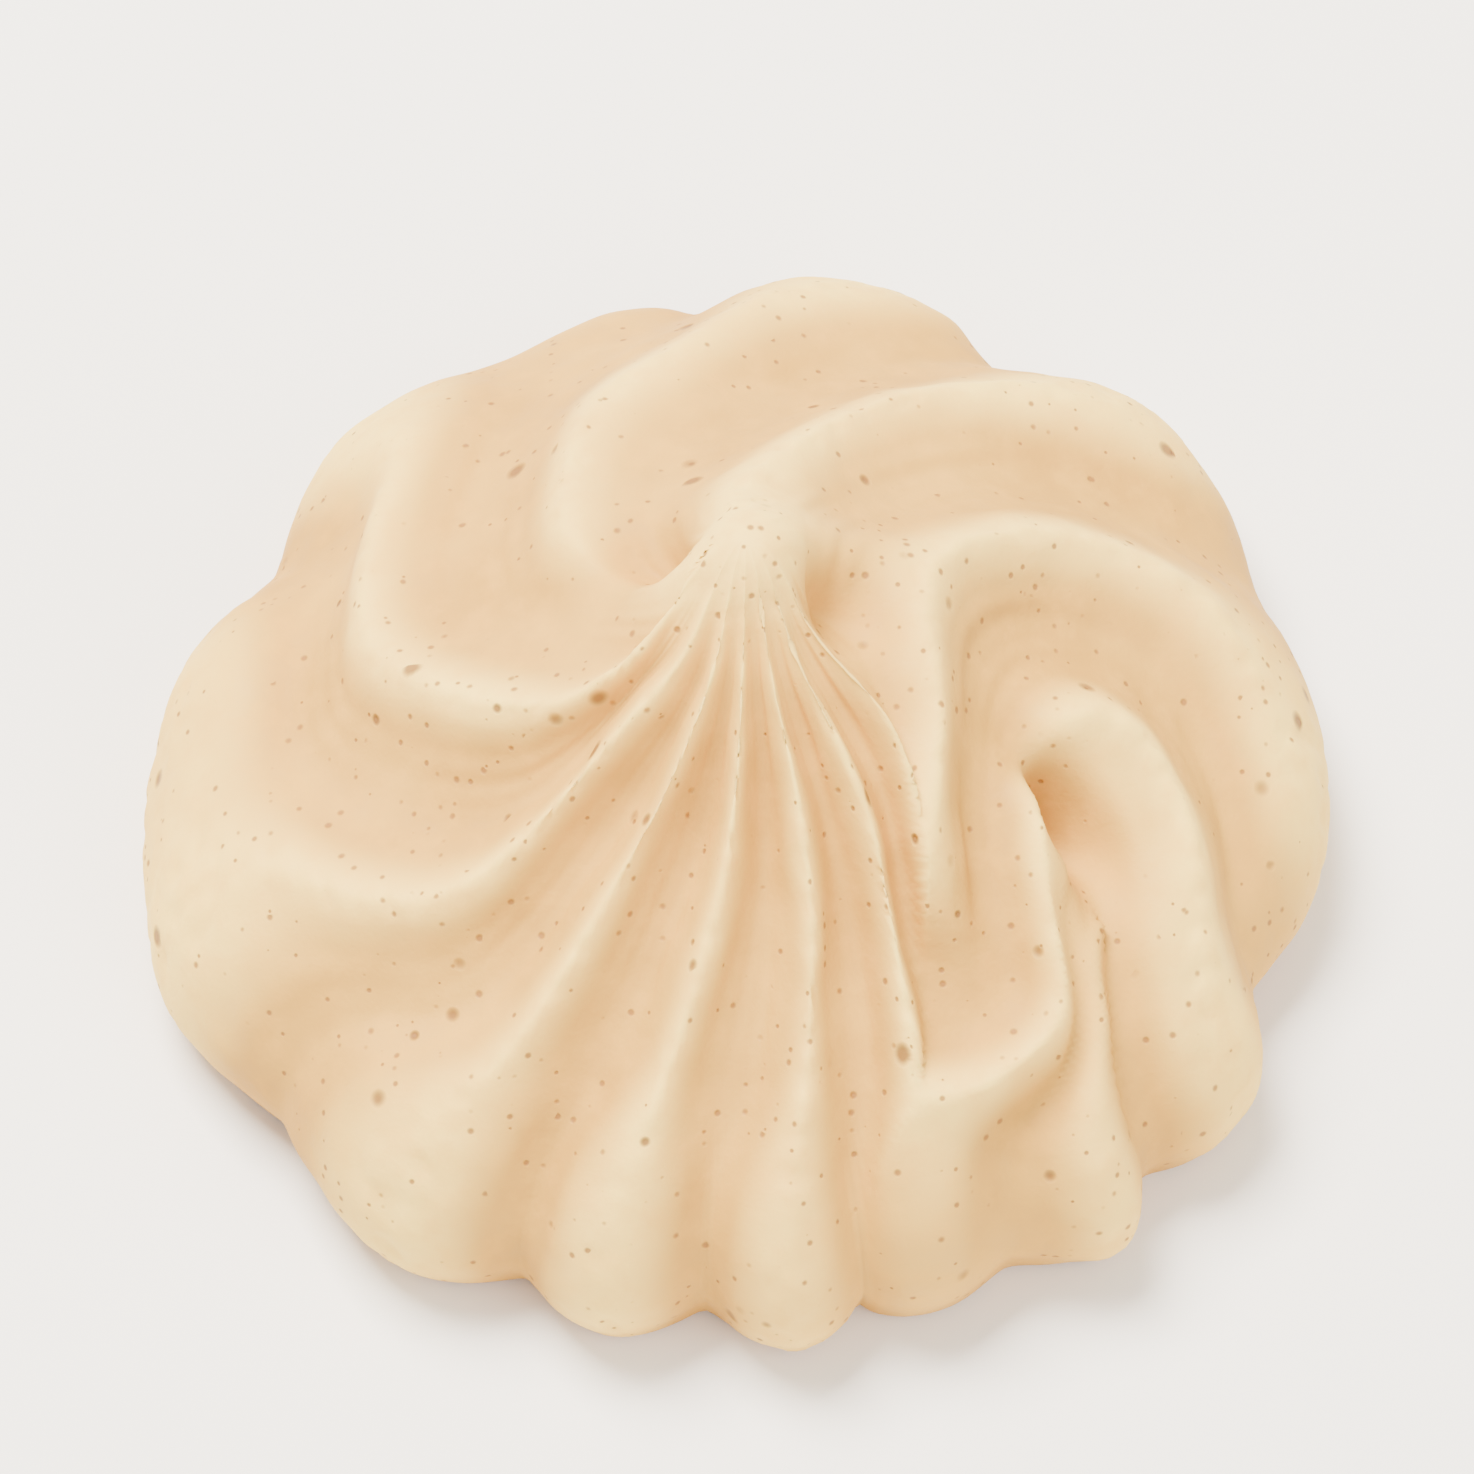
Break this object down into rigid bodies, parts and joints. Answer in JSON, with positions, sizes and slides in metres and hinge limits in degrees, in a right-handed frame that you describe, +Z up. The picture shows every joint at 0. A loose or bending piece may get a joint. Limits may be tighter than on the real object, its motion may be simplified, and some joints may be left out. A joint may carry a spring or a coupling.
{
  "type": "meringue cookie",
  "caption": "Small dry baked meringue cookie, piped through a star tip in one swirl with ridged flanks, pulled off to a peak, resting on a flat base.",
  "frame": {"origin": "centre of the outline, on the plane of the flat baked base", "axes": "+Z up through the peak; the ridges fan out from the peak towards -Y, the eye of the fold is at +X and -Y"},
  "size_m": [0.0516, 0.052, 0.025],
  "materials": {
    "baked_meringue": "matte dry baked meringue, cream with golden-tan valleys and small brown pores"
  },
  "bodies": {
    "root": {"meringue": "baked_meringue"}
  },
  "joints": []
}
